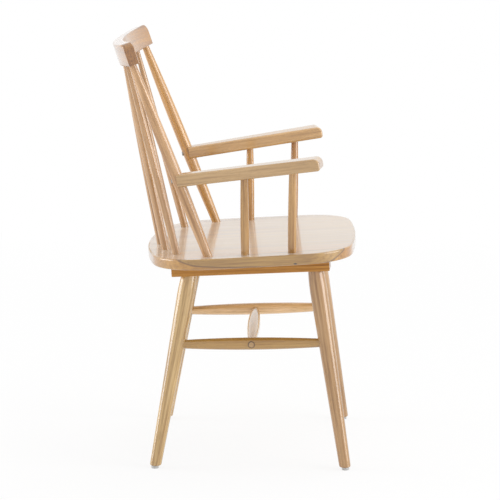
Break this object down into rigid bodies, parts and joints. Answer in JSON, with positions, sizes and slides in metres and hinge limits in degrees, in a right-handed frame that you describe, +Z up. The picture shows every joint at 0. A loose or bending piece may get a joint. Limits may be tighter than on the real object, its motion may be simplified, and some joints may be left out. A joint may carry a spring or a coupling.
{
  "type": "dining armchair",
  "caption": "Wooden dining armchair with a tilted shaped seat, turned spindles fanning up to a bent crest rail, flared arms on turned supports, and splayed legs with stretchers.",
  "frame": {"origin": "on the floor, under the middle of the overall width and depth", "axes": "+Z up, the chair faces -Y, +X to the sitter's left"},
  "size_m": [0.5346, 0.5017, 0.8687],
  "materials": {
    "seat_wood": "clear satin lacquer",
    "frame_wood": "clear satin lacquer",
    "glide_plastic": "matt",
    "screw_steel": "zinc plated"
  },
  "bodies": {
    "root": {"arm_screws": "screw_steel", "back_spindle_1": "frame_wood", "back_spindle_2": "frame_wood", "back_spindle_3": "frame_wood", "back_spindle_4": "frame_wood", "back_spindle_5": "frame_wood", "back_spindle_6": "frame_wood", "batten_screws": "screw_steel", "crest_rail": "frame_wood", "cross_stretcher": "frame_wood", "front_left_arm_support": "frame_wood", "front_left_glide": "glide_plastic", "front_left_leg": "frame_wood", "front_right_arm_support": "frame_wood", "front_right_glide": "glide_plastic", "front_right_leg": "frame_wood", "glide_nails": "screw_steel", "left_arm": "frame_wood", "left_back_post": "frame_wood", "left_batten": "frame_wood", "left_side_stretcher": "frame_wood", "rear_left_arm_support": "frame_wood", "rear_left_glide": "glide_plastic", "rear_left_leg": "frame_wood", "rear_right_arm_support": "frame_wood", "rear_right_glide": "glide_plastic", "rear_right_leg": "frame_wood", "right_arm": "frame_wood", "right_back_post": "frame_wood", "right_batten": "frame_wood", "right_side_stretcher": "frame_wood", "seat_board_1": "seat_wood", "seat_board_2": "seat_wood", "seat_board_3": "seat_wood", "seat_board_4": "seat_wood", "seat_board_5": "seat_wood", "seat_board_6": "seat_wood", "seat_board_7": "seat_wood", "seat_board_8": "seat_wood"}
  },
  "joints": []
}
